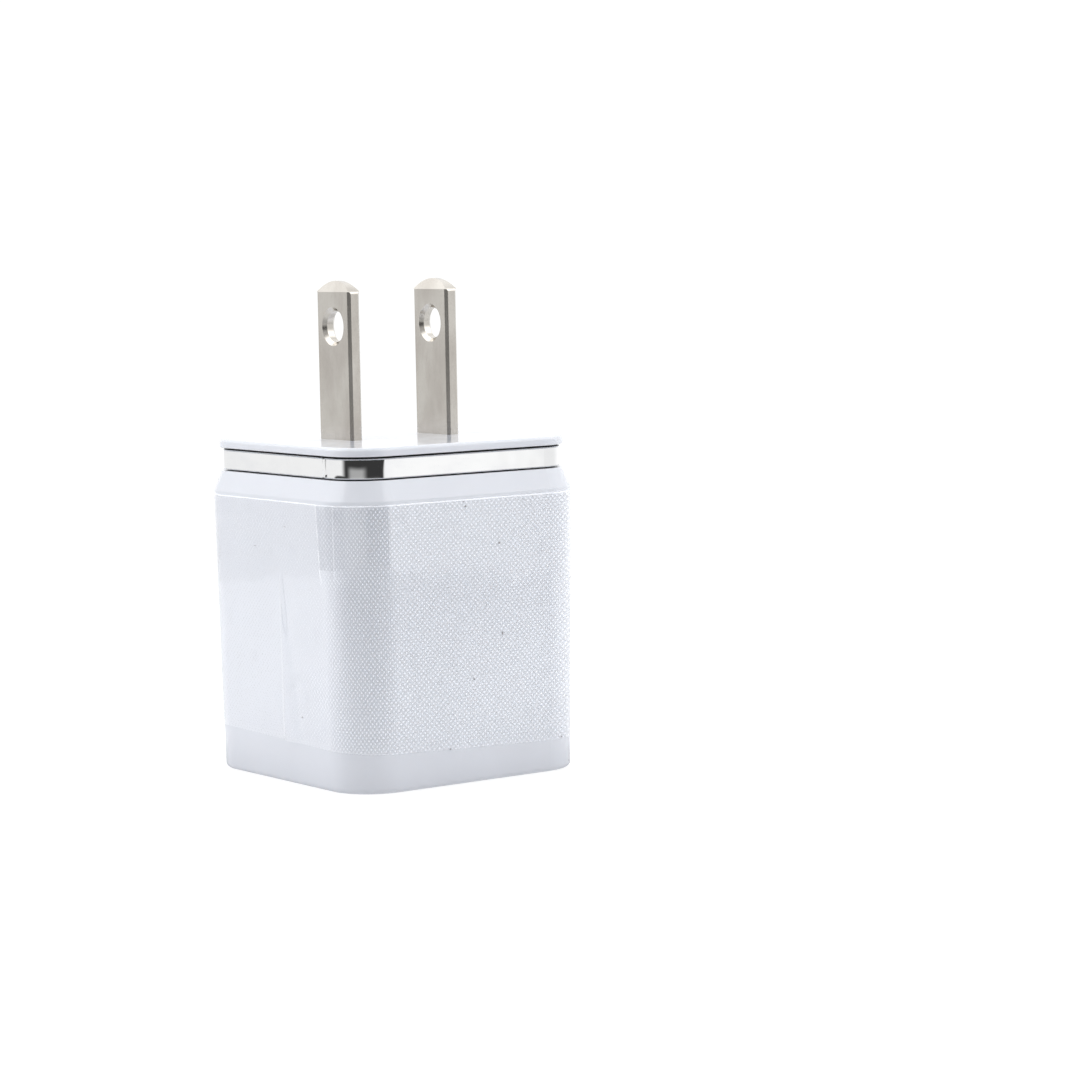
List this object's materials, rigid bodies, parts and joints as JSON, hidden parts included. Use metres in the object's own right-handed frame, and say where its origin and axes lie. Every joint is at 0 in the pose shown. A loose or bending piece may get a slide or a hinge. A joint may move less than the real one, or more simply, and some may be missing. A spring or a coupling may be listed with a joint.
{
  "type": "usb wall charger",
  "caption": "Compact cube wall charger: fixed flat plug blades on a raised cover, a bright trim ring, clear film on the body, and USB ports in the opposite face.",
  "frame": {"origin": "centre of the USB face, which the charger stands on", "axes": "+Z points from the USB face to the tips of the plug blades, X runs from one blade to the other and Y from one USB port to the other"},
  "size_m": [0.0312, 0.0312, 0.0534],
  "materials": {
    "white_plastic": "polished moulded white polycarbonate with a faint cool tint",
    "chrome_trim": "bright silver plating over moulded plastic",
    "clear_film": "clear, thin, slightly dotted protective film",
    "nickel_plate": "satin nickel plating over stamped brass",
    "contact_bronze": "gold flashed spring bronze",
    "tinned_steel": "nickel plated sheet steel",
    "port_plastic": "off-white heat resistant plastic",
    "board_laminate": "green solder mask over laminate",
    "solder": "bright reflowed solder",
    "tinned_leads": "tin plated wire",
    "ferrite": "dull sintered ferrite",
    "black_plastic": "black moulded plastic",
    "copper_wire": "enamelled copper wire",
    "yellow_tape": "yellow polyester tape",
    "capacitor_aluminium": "drawn aluminium can",
    "capacitor_sleeve": "black shrink sleeve",
    "black_epoxy": "fine grained moulded epoxy",
    "blue_coating": "blue epoxy dip coating over a ceramic disc",
    "resistor_coating": "grey-green lacquer over a ceramic body",
    "chip_ceramic": "tan and grey sintered ceramic",
    "insulating_sheet": "milky insulating film"
  },
  "bodies": {
    "charger": {"bridge_rectifier": "black_epoxy", "bridge_rectifier_legs": "tinned_leads", "capacitor_leads": "tinned_leads", "chip_parts": "chip_ceramic", "connector_can": "tinned_steel", "connector_divider": "tinned_steel", "connector_insulator": "port_plastic", "controller_chip": "black_epoxy", "controller_chip_legs": "tinned_leads", "core_tape": "yellow_tape", "fusible_resistor": "resistor_coating", "fusible_resistor_leads": "tinned_leads", "input_capacitor_can": "capacitor_aluminium", "input_capacitor_sleeve": "capacitor_sleeve", "insulating_sheet": "insulating_sheet", "live_blade": "nickel_plate", "live_blade_contact": "contact_bronze", "main_board": "board_laminate", "main_shell": "white_plastic", "neutral_blade": "nickel_plate", "neutral_blade_contact": "contact_bronze", "output_capacitor_can": "capacitor_aluminium", "output_capacitor_sleeve": "capacitor_sleeve", "output_diode": "black_epoxy", "output_diode_legs": "tinned_leads", "port_1_contact_pins": "contact_bronze", "port_2_contact_pins": "contact_bronze", "protective_film": "clear_film", "rear_cover": "white_plastic", "safety_capacitor": "blue_coating", "safety_capacitor_leads": "tinned_leads", "solder_joints": "solder", "transformer_bobbin": "black_plastic", "transformer_core_lower": "ferrite", "transformer_core_upper": "ferrite", "transformer_pins": "tinned_leads", "transformer_tape": "yellow_tape", "transformer_winding": "copper_wire", "trim_ring": "chrome_trim"},
    "port_1_contacts": {"port_1_contact_arms": "contact_bronze"},
    "port_1_inner_springs": {"port_1_inner_leaves": "tinned_steel"},
    "port_1_outer_springs": {"port_1_outer_leaves": "tinned_steel"},
    "port_2_contacts": {"port_2_contact_arms": "contact_bronze"},
    "port_2_inner_springs": {"port_2_inner_leaves": "tinned_steel"},
    "port_2_outer_springs": {"port_2_outer_leaves": "tinned_steel"}
  },
  "joints": [
    {"name": "port_1_contact_flex", "type": "hinge", "parent": "charger", "child": "port_1_contacts", "pos_m": [0, -0.0041, 0.011], "axis": [1, 0, 0], "range_deg": [0, 4], "stiffness_Nm_per_rad": 0.29},
    {"name": "port_1_outer_spring_flex", "type": "hinge", "parent": "charger", "child": "port_1_outer_springs", "pos_m": [0, -0.00726, 0.0034], "axis": [1, 0, 0], "range_deg": [0, 5], "stiffness_Nm_per_rad": 1},
    {"name": "port_1_inner_spring_flex", "type": "hinge", "parent": "charger", "child": "port_1_inner_springs", "pos_m": [0, -0.00184, 0.0034], "axis": [-1, 0, 0], "range_deg": [0, 5], "stiffness_Nm_per_rad": 1},
    {"name": "port_2_contact_flex", "type": "hinge", "parent": "charger", "child": "port_2_contacts", "pos_m": [0, 0.005, 0.011], "axis": [1, 0, 0], "range_deg": [0, 4], "stiffness_Nm_per_rad": 0.29},
    {"name": "port_2_outer_spring_flex", "type": "hinge", "parent": "charger", "child": "port_2_outer_springs", "pos_m": [0, 0.00726, 0.0034], "axis": [-1, 0, 0], "range_deg": [0, 5], "stiffness_Nm_per_rad": 1},
    {"name": "port_2_inner_spring_flex", "type": "hinge", "parent": "charger", "child": "port_2_inner_springs", "pos_m": [0, 0.00184, 0.0034], "axis": [1, 0, 0], "range_deg": [0, 5], "stiffness_Nm_per_rad": 1}
  ]
}
